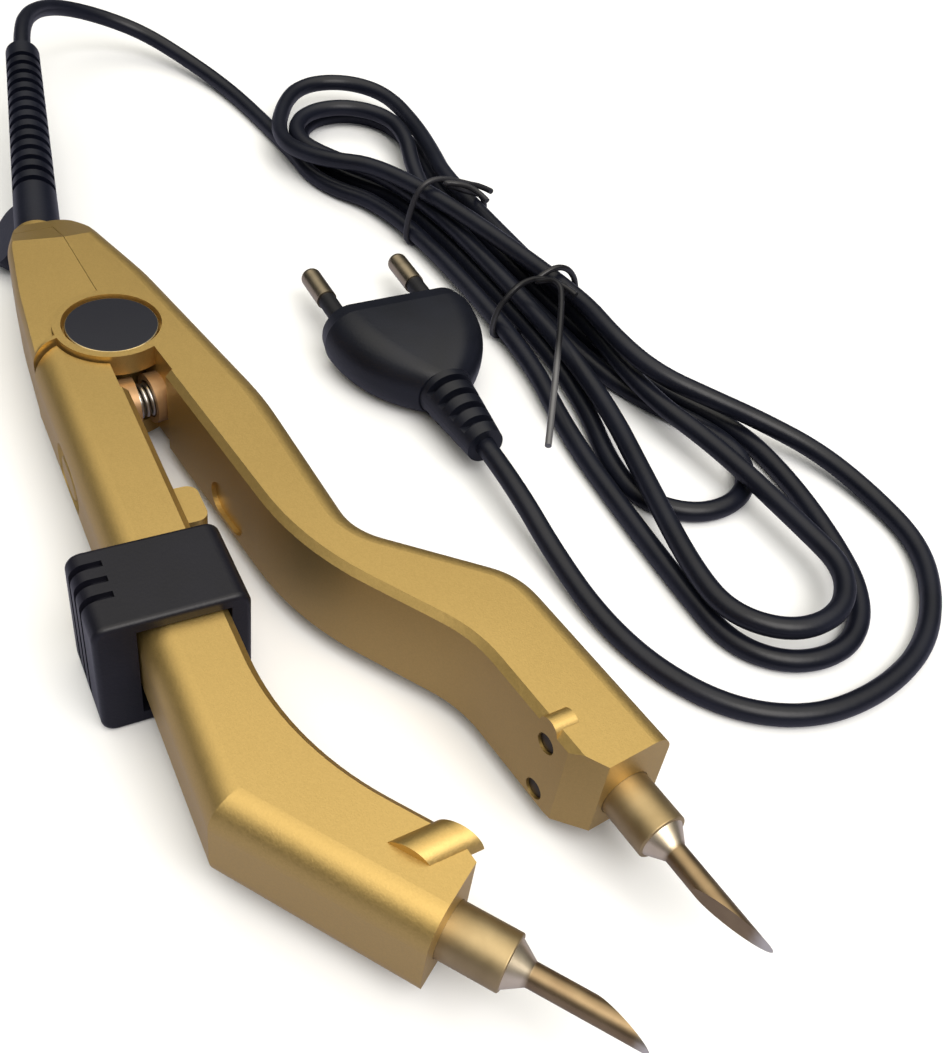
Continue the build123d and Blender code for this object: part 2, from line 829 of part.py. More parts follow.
with BuildPart() as hinge_washer:
    with BuildSketch(Plane.XY.offset(hub_top + fit_gap / 2)):
        Circle(hub_radius - 0.4)
        Circle(pin_radius + pin_fit, mode=Mode.SUBTRACT)
    extrude(amount=hub_gap - fit_gap)

with BuildPart() as badge:
    with BuildSketch(Plane.XY.offset(badge_floor)):
        Circle(badge_radius)
    extrude(amount=badge_thickness)
    fillet(badge.edges().group_by(Axis.Z)[-1], 0.3)

# Spring seats: a cup with a spigot in each arm
with BuildPart() as swing_spring_seat:
    add(across(swing_angle, spring_station, swing_seat_face, spring_height, seat_radius,
               swing_seat_face - swing_inner))
    add(across(swing_angle, spring_station, swing_inner, spring_height, seat_spigot_radius,
               seat_spigot_length))
    add(across(swing_angle, spring_station, swing_seat_face, spring_height, seat_bore_radius,
               swing_seat_face - swing_inner - seat_floor), mode=Mode.SUBTRACT)
with BuildPart() as main_spring_seat:
    add(across(main_angle, spring_station, main_inner, spring_height, seat_radius,
               main_inner - main_seat_face))
    add(across(main_angle, spring_station, main_inner + seat_spigot_length, spring_height,
               seat_spigot_radius, seat_spigot_length))
    add(across(main_angle, spring_station, main_inner - seat_floor, spring_height, seat_bore_radius,
               main_inner - seat_floor - main_seat_face), mode=Mode.SUBTRACT)

# Return spring between the two cups, clear of their tilted floors
spring_tilt = (seat_bore_radius + spring_wire) * tan(radians(main_angle)) + spring_wire / 2
spring_start = run_point(swing_angle, spring_station, swing_inner + seat_floor)[1] + spring_tilt
spring_end = run_point(main_angle, spring_station, main_inner - seat_floor)[1] - spring_tilt
with BuildPart() as upright_spring:
    with BuildLine() as coil:
        Helix((spring_end - spring_start) / spring_turns, spring_end - spring_start, spring_radius)
    with BuildSketch(Plane(coil.line @ 0, z_dir=coil.line % 0)):
        Circle(spring_wire / 2)
    sweep(is_frenet=True)
with BuildPart() as return_spring:
    spring_axis = Plane(origin=(spring_station, spring_start, spring_height), z_dir=(0, 1, 0))
    add(upright_spring.part.moved(spring_axis.location))

# Sleeve on the swinging arm
sleeve_low = sleeve_height / 2
sleeve_place = run_point(swing_angle, sleeve_station - sleeve_length / 2, 0)
sleeve_left = swing_inner - swing_width - sleeve_outer_wall
sleeve_right = swing_face + sleeve_inner_wall
with BuildPart() as stand_sleeve:
    with BuildSketch(run_plane(swing_angle, sleeve_place, sleeve_low)):
        with Locations(((sleeve_left + sleeve_right) / 2, 0)):
            RectangleRounded(sleeve_right - sleeve_left, sleeve_height, sleeve_round)
    extrude(amount=sleeve_length)
    sleeve_ends = stand_sleeve.faces().sort_by(Axis.X)
    fillet(sleeve_ends[-1].edges() + sleeve_ends[0].edges(), 0.8)
    hole_left = swing_inner - swing_width - sleeve_fit
    hole_right = swing_face + sleeve_fit
    hole_bottom = arm_bottom - sleeve_fit - sleeve_low
    hole_top = swing_top + sleeve_fit - sleeve_low
    with BuildSketch(run_plane(swing_angle, sleeve_place, sleeve_low)) as sleeve_hole:
        with Locations(((hole_left + hole_right) / 2, (hole_top + hole_bottom) / 2)):
            Rectangle(hole_right - hole_left, hole_top - hole_bottom)
        fillet(sleeve_hole.vertices().filter_by(lambda v: v.Y < -10), outer_round)
    extrude(amount=sleeve_length, mode=Mode.SUBTRACT)
    for index in range(3):
        start = 2.6 + index * groove_pitch
        with BuildSketch(run_plane(swing_angle, sleeve_place, sleeve_low).offset(start)):
            with Locations((sleeve_left, 2.5)):
                Rectangle(9, sleeve_height)
            with Locations(((sleeve_left + sleeve_right) / 2, 0)):
                RectangleRounded(sleeve_right - sleeve_left - 2 * groove_depth,
                                 sleeve_height - 2 * groove_depth, sleeve_round, mode=Mode.SUBTRACT)
        extrude(amount=groove_width, mode=Mode.SUBTRACT)

# Push button and the switch behind it
button_face = swing_inner - swing_width + dish_depth - button_proud
with BuildPart() as power_button:
    with BuildSketch(side_plane(swing_angle, button_station, button_face, button_height)):
        SlotOverall(button_length, button_width)
    extrude(amount=-(swing_inner - swing_width + wall + 0.15 - button_face))
    fillet(power_button.faces().sort_by(Axis.Y)[0].edges(), 0.4)
    flange_face = swing_inner - swing_width + wall + 0.1
    with BuildSketch(side_plane(swing_angle, button_station, flange_face, button_height)):
        SlotOverall(button_length + 2.4, button_width + 2.0)
    extrude(amount=-button_flange)

with BuildPart() as switch_board:
    board_low = arm_bottom + wall + board_gap
    swing_board_height = swing_top - arm_bottom - 2 * wall - 2 * board_gap
    with BuildSketch(side_plane(swing_angle, button_station + 1, switch_board_offset,
                                board_low + swing_board_height / 2)):
        Rectangle(switch_board_length, swing_board_height)
    extrude(amount=-board_thickness)
    with BuildSketch(side_plane(swing_angle, button_station, switch_board_offset, button_height)):
        Rectangle(switch_body[0], switch_body[1])
    extrude(amount=switch_body[2])
    plunger_base = switch_board_offset - switch_body[2]
    with BuildSketch(side_plane(swing_angle, button_station, plunger_base, button_height)):
        Circle(plunger_radius)
    extrude(amount=plunger_height)

with BuildPart() as control_board:
    main_board_height = main_top - arm_bottom - 2 * wall - 2 * board_gap
    with BuildSketch(side_plane(main_angle, control_board_station, control_board_offset + board_thickness,
                                board_low + main_board_height / 2)):
        Rectangle(control_board_length, main_board_height)
    extrude(amount=board_thickness)
    with BuildSketch(side_plane(main_angle, control_board_station, control_board_offset,
                                board_low + main_board_height / 2)):
        with Locations((-7, -1)):
            Rectangle(8, 7)
        with Locations((2.5, 1)):
            Rectangle(5, 4)
    extrude(amount=2.6)
    with BuildSketch(side_plane(main_angle, control_board_station + 9, control_board_offset,
                                board_low + main_board_height / 2)):
        Circle(2.6)
    extrude(amount=3.6)


def front_bush(angle, place):
    """Insulating bush round the barrel's shank, behind the front wall."""
    with BuildPart() as bush:
        bush_start = -front_wall - 2 * fit_gap - bush_length
        with BuildSketch(run_plane(angle, place, barrel_height).offset(bush_start)):
            Circle(bush_radius)
            Circle(shank_radius + fit_gap / 2, mode=Mode.SUBTRACT)
        extrude(amount=bush_length)
    return bush.part


def heater_barrel(angle, place, length):
    """Barrel with a thinner shank inside the arm, bored for the heater core and for the tip."""
    with BuildPart() as barrel:
        with BuildSketch(run_plane(angle, place, barrel_height).offset(-front_wall)):
            Circle(barrel_radius)
        extrude(amount=length + front_wall)
        fillet(barrel.edges().sort_by(Axis.X)[-1], 0.25)
        with BuildSketch(run_plane(angle, place, barrel_height).offset(-front_wall - shank_length)):
            Circle(shank_radius)
        extrude(amount=shank_length)
        with BuildSketch(run_plane(angle, place, barrel_height).offset(-front_wall - shank_length)):
            Circle(core_radius + fit_gap / 2)
        extrude(amount=core_length + fit_gap, mode=Mode.SUBTRACT)
        with BuildSketch(run_plane(angle, place, barrel_height).offset(length)):
            Circle(rod_radius - 0.3 + fit_gap / 2)
        extrude(amount=-tip_spigot_length - fit_gap, mode=Mode.SUBTRACT)
    return barrel.part


def heater_core(angle, place):
    """Heater rod inside the barrel."""
    with BuildPart() as core:
        with BuildSketch(run_plane(angle, place, barrel_height).offset(-front_wall - shank_length)):
            Circle(core_radius)
        extrude(amount=core_length)
    return core.part


def pointed_tip(angle, place, length, rod_length, bevel_angle, side):
    """Cone and rod cut to a point on one side (1 left, -1 right) by a slanted plane."""
    base = run_plane(angle, place, barrel_height).offset(length)
    a, b = radians(angle), radians(bevel_angle)
    reach = length + cone_length + rod_length
    point = (
        place[0] + reach * cos(a) - side * rod_radius * sin(a),
        place[1] + reach * sin(a) + side * rod_radius * cos(a),
    )
    along_cut = Vector(cos(b), sin(b))
    away = Vector(sin(b), -cos(b)) * side
    start = Vector(*point) - along_cut * 16
    end = Vector(*point) + along_cut * 4
    with BuildPart() as tip:
        with BuildSketch(Plane(base.origin, x_dir=base.z_dir, z_dir=(0, 0, 1))):
            with BuildLine():
                Polyline(
                    (-tip_spigot_length, 0),
                    (-tip_spigot_length, rod_radius - 0.3),
                    (0, rod_radius - 0.3),
                    (0, barrel_radius - 0.5),
                    (cone_length, rod_radius),
                    (cone_length + rod_length, rod_radius),
                    (cone_length + rod_length, 0),
                    close=True,
                )
            make_face()
        revolve(axis=Axis(base.origin, base.z_dir))
        with BuildSketch(Plane.XY.offset(barrel_height - 10)):
            with BuildLine():
                Polyline(
                    (start.X, start.Y),
                    (end.X, end.Y),
                    (end.X + away.X * 12, end.Y + away.Y * 12),
                    (start.X + away.X * 12, start.Y + away.Y * 12),
                    close=True,
                )
            make_face()
        extrude(amount=20, mode=Mode.SUBTRACT)
    return tip.part


def front_screws(angle, station, face):
    """Two screws driven across an arm, one above and one below the barrel."""
    with BuildPart() as screws:
        for height in (screw_low, screw_high):
            top = face - screw_sink + screw_head_height
            add(across(angle, station, top, height, screw_head_radius, screw_head_height))
            add(across(angle, station, face - screw_sink, height, screw_radius, screw_length))
    return screws.part


def main_screws(angle, station, face):
    """The same screws, driven the other way on the main arm."""
    with BuildPart() as screws:
        for height in (screw_low, screw_high):
            add(across(angle, station, face + screw_sink, height, screw_head_radius, screw_head_height))
            add(across(angle, station, face + screw_sink + screw_length, height, screw_radius, screw_length))
    return screws.part


def wire_pair(points, radii):
    """Two parallel wires, one above the other."""
    with BuildPart() as wires:
        for shift in (-wire_gap / 2, wire_gap / 2):
            with BuildLine(Plane.XY.offset(shift)) as path:
                FilletPolyline(*points, radius=radii)
            with BuildSketch(path.line ^ 0):
                Circle(wire_radius)
            sweep(path=path.line)
    return wires.part


with BuildPart() as swing_bush:
    add(front_bush(swing_barrel_angle, swing_barrel_place))
with BuildPart() as main_bush:
    add(front_bush(main_barrel_angle, main_barrel_place))
with BuildPart() as swing_barrel:
    add(heater_barrel(swing_barrel_angle, swing_barrel_place, swing_barrel_length))
with BuildPart() as main_barrel:
    add(heater_barrel(main_barrel_angle, main_barrel_place, main_barrel_length))
with BuildPart() as swing_heater_core:
    add(heater_core(swing_barrel_angle, swing_barrel_place))
with BuildPart() as main_heater_core:
    add(heater_core(main_barrel_angle, main_barrel_place))
with BuildPart() as swing_tip:
    add(pointed_tip(swing_barrel_angle, swing_barrel_place, swing_barrel_length, swing_rod_length,
                    swing_bevel_angle, -1))
with BuildPart() as main_tip:
    add(pointed_tip(main_barrel_angle, main_barrel_place, main_barrel_length, main_rod_length,
                    main_bevel_angle, 1))
with BuildPart() as swing_cover_screws:
    add(front_screws(swing_front_angle, swing_screw_station, swing_front_face))
with BuildPart() as main_cover_screws:
    add(main_screws(main_front_angle, main_screw_station, main_front_face))


# Wires: from the tail of each heater core back to the boards, and from the strain relief to the board
core_end = front_wall + shank_length


def behind(place, angle, distance):
    """Point on a barrel's axis, a distance behind the front face."""
    a = radians(angle)
    return (place[0] - distance * cos(a), place[1] - distance * sin(a), barrel_height)


with BuildPart() as swing_wires:
    add(
        wire_pair(
            [
                behind(swing_barrel_place, swing_barrel_angle, core_end + fit_gap),
                behind(swing_barrel_place, swing_barrel_angle, core_end + 5),
                (*run_point(swing_angle, 78, swing_inner - 4), barrel_height),
                (*run_point(swing_angle, 50, swing_inner - 3.5), barrel_height),
                (*run_point(swing_angle, button_station + 8.3, switch_board_offset + 0.6), barrel_height),
            ],
            (6, 20, 20),
        )
    )
wire_bend = meet(main_middle_angle, main_middle_inner + 5, main_front_angle, main_front_inner + 6)
with BuildPart() as main_wires:
    add(
        wire_pair(
            [
                behind(main_barrel_place, main_barrel_angle, core_end + fit_gap),
                behind(main_barrel_place, main_barrel_angle, core_end + 6),
                (*wire_bend, barrel_height),
                (*meet(main_middle_angle, main_middle_inner + 5, main_angle, main_inner + 4), barrel_height),
                (*run_point(main_angle, control_board_station + control_board_length / 2 + 3 * fit_gap,
                            control_board_offset + 0.6), barrel_height),
            ],
            (6, 12, 8),
        )
    )
relief_direction = Vector(*relief_exit) - Vector(*relief_start)
relief_length = relief_direction.length
relief_plane = Plane(origin=relief_start, z_dir=relief_direction)
neck_plane = Plane(origin=relief_start, z_dir=nose_plane.z_dir)
with BuildPart() as mains_wires:
    wire_start = neck_plane.origin + nose_plane.z_dir * (relief_neck_length + relief_flange_thickness + 0.7)
    wire_end = run_point(main_angle, control_board_station - control_board_length / 2 - 3 * fit_gap,
                         control_board_offset + 0.6)
    add(
        wire_pair(
            [
                tuple(wire_start),
                (-26.0, -1.6, relief_start[2]),
                *[(x, y, relief_start[2]) for x, y in tunnel_points[:3]],
                (*wire_end, relief_start[2]),
            ],
            (4, 8, 3, 8),
        )
    )

# Strain relief: neck and flange inside the nose, ribbed boot outside, side lug that reaches the table
with BuildPart() as strain_relief:
    with BuildSketch(neck_plane.offset(-2.0)):
        Circle(relief_neck_radius)
    extrude(amount=2.0 + relief_neck_length)
    with BuildSketch(neck_plane.offset(relief_neck_length)):
        Circle(relief_flange_radius)
    extrude(amount=relief_flange_thickness)
    with BuildSketch(neck_plane.offset(-1.8)):
        Circle(relief_radius - 0.6)
    extrude(amount=1.8 - fit_gap)
    with BuildSketch(relief_plane.offset(0.8)):
        Circle(relief_radius)
    with BuildSketch(relief_plane.offset(relief_length)):
        Circle(relief_end_radius)
    loft()
    for index in range(relief_slots):
        station = relief_first_slot + index * relief_slot_pitch
        radius = relief_radius + (relief_end_radius - relief_radius) * station / relief_length
        for side in (-1, 1):
            shift = relief_slot_pitch / 4 * side
            with BuildSketch(relief_plane.offset(station + shift)):
                with Locations((0, side * 3.5)):
                    Rectangle(20, 7 - 1.2)
                Circle(radius - relief_slot_depth, mode=Mode.SUBTRACT)
            extrude(amount=relief_slot_width, mode=Mode.SUBTRACT)
    lug_base = relief_plane.origin + relief_plane.z_dir * lug_disc_setback
    lean = radians(lug_disc_tilt)
    sideways = Vector(0, 0, 1).cross(relief_plane.z_dir).normalized()
    down = sideways * sin(lean) - Vector(0, 0, 1) * cos(lean)
    lug_reach_down = (lug_base.Z - lug_disc_thickness / 2 * sin(lean)) / cos(lean) - lug_disc_radius
    lug_centre = lug_base + down * lug_reach_down
    lug_plane = Plane(origin=lug_centre, x_dir=relief_plane.z_dir, z_dir=relief_plane.z_dir.cross(down))
    with BuildSketch(lug_plane):
        Circle(lug_disc_radius)
    extrude(amount=lug_disc_thickness / 2, both=True)


def sweep_tube(points, radii, diameter):
    """Tube along straight runs joined by tangent arcs."""
    with BuildPart() as tube:
        with BuildLine() as route:
            FilletPolyline(*points, radius=radii)
        with BuildSketch(route.line ^ 0):
            Circle(diameter / 2)
        sweep(path=route.line)
    return tube.part, route.wire()


def corner_radii(points):
    """Radius of each corner: 0.45 of its shorter run over the tangent of half its turn."""
    radii = []
    for before, corner, after in zip(points, points[1:], points[2:]):
        run_in = Vector(*corner) - Vector(*before)
        run_out = Vector(*after) - Vector(*corner)
        half_turn = radians(run_in.get_angle(run_out)) / 2
        radii.append(0.45 * min(run_in.length, run_out.length) / tan(half_turn))
    return radii


def report_tube(name, part, line, radii):
    """Prints a tube's length, its tightest arc and its volume over section times length."""
    section = pi * cord_diameter**2 / 4
    print(name, "length", round(line.length, 1), "tightest", round(min(radii), 1),
          "volume ratio", round(part.volume / (section * line.length), 4))
    print("   radii", [round(radius, 1) for radius in radii])


# Hank: three and a half loops in layers, drawn in alike at the waist, one unbroken tube
def hank_side(outer, side, waist):
    """Sideways place of a run: outer or inner strand, near (-1) or far (1) side."""
    if waist:
        return hank_centre + side * (hank_waist_inner + hank_waist_pitch * outer)
    return hank_centre + side * (hank_end_inner + hank_pitch * outer)


hank_runs = (
    (True, -1, 0, 0),
    (True, 1, 0, 0),
    (False, -1, 0, 0),
    (False, 1, 0, 1),
    (False, -1, 1, 1),
    (True, 1, 1, 1),
    (True, -1, 1, 2),
)
end_centre_left = hank_left + hank_end_inner + hank_pitch
end_centre_right = hank_right - hank_end_inner - hank_pitch
hank_short_run = 2
hank_points = []
for index, (outer, side, layer_in, layer_out) in enumerate(hank_runs):
    heading = 1 if side < 0 else -1
    z_in = cord_height + layer_step * layer_in
    z_out = cord_height + layer_step * layer_out
    wide = hank_side(outer, side, False)
    narrow = hank_side(outer, side, True)
    stations = [*hank_taper_left, *hank_taper_right][::heading]
    last_run = index == len(hank_runs) - 1
    if last_run:
        hank_points += [(stations[0], wide, z_in), (stations[1], narrow, z_out + tie_lift)]
        hank_points += [(*hank_end, z_out + tie_lift)]
        break
    hank_points += [
        (stations[0], wide, z_in),
        (stations[1], narrow, z_in + tie_lift),
        (stations[2], narrow, z_in + tie_lift),
        (stations[3], wide, z_out),
    ]
    next_outer, next_side = hank_runs[index + 1][:2]
    next_wide = hank_side(next_outer, next_side, False)
    turn_radius = abs(next_wide - wide) / 2
    end_centre = end_centre_right if heading > 0 else end_centre_left
    corner_x = hank_short_right if index == hank_short_run else end_centre + heading * turn_radius
    hank_points += [(corner_x, wide, z_out), (corner_x, next_wide, z_out)]
hank_start = (end_centre_left - 2, hank_points[0][1], cord_height)
hank_points.insert(0, hank_start)
hank_route_radii = corner_radii(hank_points)
for index in range(len(hank_route_radii)):
    before, corner, after = hank_points[index:index + 3]
    if before[0] == corner[0] or corner[0] == after[0]:
        hank_route_radii[index] = abs(after[1] - before[1]) / 2 * 0.985
# A taper's corner leaves room on its run for the end turn beside it
for index in range(len(hank_route_radii)):
    before, corner, after = hank_points[index:index + 3]
    half_turn = radians((Vector(*corner) - Vector(*before)).get_angle(Vector(*after) - Vector(*corner))) / 2
    for place, other in ((index - 1, before), (index + 1, after)):
        beside_turn = 0 < place < len(hank_route_radii) and half_turn < 0.6
        if beside_turn and hank_route_radii[place] < 18:
            room = 0.9 * (abs(corner[0] - other[0]) - hank_route_radii[place])
            hank_route_radii[index] = min(hank_route_radii[index], room / tan(half_turn))
cord_hank_part, hank_line = sweep_tube(hank_points, hank_route_radii, cord_diameter)
report_tube("cord_hank", cord_hank_part, hank_line, hank_route_radii)
with BuildPart() as cord_hank:
    add(cord_hank_part)

samples = [hank_line.position_at(i / 1200) for i in range(1201)]
apart = int(1200 * 6 * cord_diameter / hank_line.length)
least = min(
    (samples[i] - samples[j]).length
    for i in range(0, 1201, 2)
    for j in range(i + apart, 1201)
    if abs(samples[i].X - samples[j].X) < 8 and abs(samples[i].Y - samples[j].Y) < 8
)
print("least gap of the hank to itself", round(least - cord_diameter, 2))

# Lead: from the strain relief down to the table and round to the hank
lead_points = [
    relief_exit,
    tuple(Vector(*relief_exit) + relief_direction.normalized() * 11),
    (-123.6, 23.4, 18.0),
    (-132.0, 31.8, 14.6),
    (-135.4, 42.0, 10.4),
    (-131.0, 51.6, 6.6),
    (-121.4, 58.2, 3.8),
    (-108.5, 62.6, 2.2),
    (-94.5, hank_start[1], cord_height),
    hank_start,
]
# Tail: off the hank, wide round its loops and up into the plug
plug_plane = run_plane(plug_angle, plug_face, plug_thickness / 2 + 0.1)
plug_exit = plug_plane.origin - plug_plane.z_dir * (plug_length + plug_tail_length)
hank_heading = (Vector(*hank_points[-1]) - Vector(*hank_points[-2])).normalized()
tail_points = [
    hank_points[-1],
    tuple(Vector(*hank_points[-1]) + hank_heading * 11),
    (35.4, 96.6, 10.6),
    (46.4, 102.0, 7.2),
    (57.6, 108.2, 4.6),
    (71.4, 113.2, 2.6),
    (85.2, 111.6, cord_height),
    (96.0, 104.4, cord_height),
    (103.6, 94.4, cord_height),
    (107.2, 82.0, cord_height),
    (106.2, 69.4, cord_height),
    (99.6, 58.8, cord_height),
    (88.6, 52.6, cord_height),
    (76.0, 50.2, 2.2),
    (63.6, 50.4, 3.4),
    tuple(plug_exit - plug_plane.z_dir * 11.0),
    tuple(plug_exit),
]
lead_radii = corner_radii(lead_points)
tail_radii = corner_radii(tail_points)
lead_part, lead_line = sweep_tube(lead_points, lead_radii, cord_diameter)
tail_part, tail_line = sweep_tube(tail_points, tail_radii, cord_diameter)
report_tube("cord_lead", lead_part, lead_line, lead_radii)
report_tube("cord_tail", tail_part, tail_line, tail_radii)
with BuildPart() as cord_lead:
    add(lead_part)
with BuildPart() as cord_tail:
    add(tail_part)

# Plug: flat two-pin body, ribbed tail, pins with insulating sleeves
with BuildPart() as plug_body:
    with BuildSketch(plug_plane.offset(-3.0)):
        RectangleRounded(plug_width, plug_thickness, plug_thickness * 0.48)
    with BuildSketch(plug_plane.offset(-plug_length * 0.45)):
        RectangleRounded(plug_width * 0.92, plug_thickness, plug_thickness * 0.48)
    with BuildSketch(plug_plane.offset(-plug_length)):
        RectangleRounded(plug_neck_radius * 2.1, plug_neck_radius * 1.9, plug_neck_radius * 0.9)
    loft()
    with BuildSketch(plug_plane.offset(-3.0)):
        RectangleRounded(plug_width, plug_thickness, plug_thickness * 0.48)
    extrude(amount=3.0, taper=12)
    with BuildSketch(plug_plane.offset(-plug_length)):
        Circle(plug_neck_radius)
    with BuildSketch(plug_plane.offset(-plug_length - plug_tail_length)):
        Circle(plug_end_radius)
    loft()
    for index in range(4):
        station = plug_length + 1.4 + index * 3.5
        with BuildSketch(plug_plane.offset(-station)):
            with Locations((0, 5), (0, -5)):
                Rectangle(20, 6.4)
            Circle(plug_neck_radius - 1.7 - index * 0.35, mode=Mode.SUBTRACT)
        extrude(amount=-1.5, mode=Mode.SUBTRACT)
    with BuildSketch(plug_plane.offset(-8)):
        with Locations((plug_pin_spacing / 2, 0), (-plug_pin_spacing / 2, 0)):
            Circle(plug_sleeve_radius)
    extrude(amount=10, mode=Mode.SUBTRACT)

with BuildPart() as plug_pins:
    with BuildSketch(plug_plane.offset(-8)):
        with Locations((plug_pin_spacing / 2, 0), (-plug_pin_spacing / 2, 0)):
            Circle(plug_sleeve_radius - 0.4)
    extrude(amount=8 + plug_sleeve_length)
    with BuildSketch(plug_plane.offset(plug_sleeve_length)):
        with Locations((plug_pin_spacing / 2, 0), (-plug_pin_spacing / 2, 0)):
            Circle(plug_pin_radius)
    extrude(amount=plug_pin_length - plug_sleeve_length)
    fillet(plug_pins.faces().sort_by(Axis((0, 0, 0), tuple(plug_plane.z_dir)))[-2:].edges(), 1.2)

with BuildPart() as plug_pin_sleeves:
    with BuildSketch(plug_plane.offset(-8)):
        with Locations((plug_pin_spacing / 2, 0), (-plug_pin_spacing / 2, 0)):
            Circle(plug_sleeve_radius)
            Circle(plug_sleeve_radius - 0.4, mode=Mode.SUBTRACT)
    extrude(amount=8 + plug_sleeve_length)


def tie_ring(x, tail):
    """Wire tie round the hank's waist at a given station, with a straight tail where one is given."""
    low = tie_wire / 2 + 0.05
    side = hank_waist_inner + hank_waist_pitch + cord_diameter / 2 + tie_wire / 2 + 0.4
    shoulder = cord_height + tie_lift + 2 * layer_step - 0.6
    top = cord_height + tie_lift + 2 * layer_step + cord_diameter / 2 + tie_wire / 2 + 0.25
    lead = 0.2 * side if x < -10 else -0.2 * side
    corners = [
        (x, hank_centre - side, low),
        (x, hank_centre + side, low),
        (x, hank_centre + side, shoulder - (1.5 if lead > 0 else 0)),
        (x, hank_centre + 0.55 * side - lead, top),
        (x, hank_centre - 0.55 * side - lead, top),
        (x, hank_centre - side, shoulder - (0 if lead > 0 else 1.5)),
    ]
    with BuildPart() as ring:
        with BuildLine() as loop:
            FilletPolyline(*corners, radius=2.0, close=True)
        with BuildSketch(loop.line ^ 0):
            Circle(tie_wire / 2)
        sweep(path=loop.line)
        if tail:
            start = Vector(x, hank_centre + 2, top)
            with BuildSketch(Plane(origin=start, z_dir=Vector(*tail) - start)):
                Circle(tie_wire / 2)
            extrude(amount=(Vector(*tail) - start).length)
    return ring.part


with BuildPart() as hank_tie_left:
    add(tie_ring(tie_places[0], (tie_places[0] + 7, hank_centre + 9.6, 13.0)))
with BuildPart() as hank_tie_right:
    add(tie_ring(tie_places[1], tie_tail_end))

# Everything moves so that the origin is under the middle of the iron's own pieces
iron = {
    "main_arm_shell": main_arm_shell,
    "main_arm_cover": main_arm_cover,
    "rear_cover": rear_cover,
    "rear_screws": rear_screws,
    "hinge_pin": hinge_pin,
    "hinge_washer": hinge_washer,
    "badge": badge,
    "main_spring_seat": main_spring_seat,
    "return_spring": return_spring,
    "main_bush": main_bush,
    "main_barrel": main_barrel,
    "main_heater_core": main_heater_core,
    "main_tip": main_tip,
    "main_cover_screws": main_cover_screws,
    "main_wires": main_wires,
    "mains_wires": mains_wires,
    "control_board": control_board,
    "strain_relief": strain_relief,
    "swing_arm_shell": swing_arm_shell,
    "swing_arm_cover": swing_arm_cover,
    "swing_spring_seat": swing_spring_seat,
    "swing_bush": swing_bush,
    "swing_barrel": swing_barrel,
    "swing_heater_core": swing_heater_core,
    "swing_tip": swing_tip,
    "swing_cover_screws": swing_cover_screws,
    "swing_wires": swing_wires,
    "switch_board": switch_board,
    "power_button": power_button,
    "stand_sleeve": stand_sleeve,
}
cord_set = {
    "cord_lead": cord_lead,
    "cord_hank": cord_hank,
    "cord_tail": cord_tail,
    "hank_tie_left": hank_tie_left,
    "hank_tie_right": hank_tie_right,
    "plug_body": plug_body,
    "plug_pins": plug_pins,
    "plug_pin_sleeves": plug_pin_sleeves,
}
boxes = [piece.part.bounding_box() for piece in iron.values()]
middle_x = (min(box.min.X for box in boxes) + max(box.max.X for box in boxes)) / 2
middle_y = (min(box.min.Y for box in boxes) + max(box.max.Y for box in boxes)) / 2
lowest = min(box.min.Z for box in boxes)
shift = Location((-middle_x, -middle_y, -lowest))
print("hinge axis at", round(-middle_x, 3), round(-middle_y, 3), "lowest", round(lowest, 4))
print("arm closes by", closing_angle, "button travels", button_travel)
print("sleeve slides back", sleeve_back_travel, "and forward", sleeve_front_travel)
os.makedirs("parts", exist_ok=True)
for name, piece in {**iron, **cord_set}.items():
    placed = piece.part.moved(shift)
    placed.label = name
    export_step(placed, f"parts/{name}.step")
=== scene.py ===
import math

import bpy
import numpy as np
from mathutils import Matrix, Vector


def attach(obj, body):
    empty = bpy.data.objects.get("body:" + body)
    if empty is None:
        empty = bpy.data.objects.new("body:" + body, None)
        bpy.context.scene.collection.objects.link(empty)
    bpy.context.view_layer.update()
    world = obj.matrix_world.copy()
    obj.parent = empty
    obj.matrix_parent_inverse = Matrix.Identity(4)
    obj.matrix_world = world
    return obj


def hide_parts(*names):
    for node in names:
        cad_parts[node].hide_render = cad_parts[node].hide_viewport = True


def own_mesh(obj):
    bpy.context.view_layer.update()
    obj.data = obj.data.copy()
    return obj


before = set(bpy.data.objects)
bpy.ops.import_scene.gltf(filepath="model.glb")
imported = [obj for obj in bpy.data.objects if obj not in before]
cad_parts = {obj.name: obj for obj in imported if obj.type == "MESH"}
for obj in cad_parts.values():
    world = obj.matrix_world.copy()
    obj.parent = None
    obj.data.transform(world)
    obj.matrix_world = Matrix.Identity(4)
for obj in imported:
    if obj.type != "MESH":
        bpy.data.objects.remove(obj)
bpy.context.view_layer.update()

# The hinge axis in the row frame, and the height that the model was lifted by, in metres
HINGE = np.array((-0.017367, -0.005813, 0.0000036))
MILLIMETRES_PER_METRE = 1000


def place(x, y, z):
    """Row-frame point, in metres, of a point given in millimetres from the hinge axis at table level."""
    return HINGE + np.array((x, y, z)) / MILLIMETRES_PER_METRE


# Camera: where the photograph was taken from, in millimetres from the hinge axis, and its lens
CAMERA_PLACE = (169.19, -47.78, 145.48)
FOCAL_PIXELS = 1251.3
PICTURE_WIDTH_PIXELS = 943
SENSOR_WIDTH = 36.0

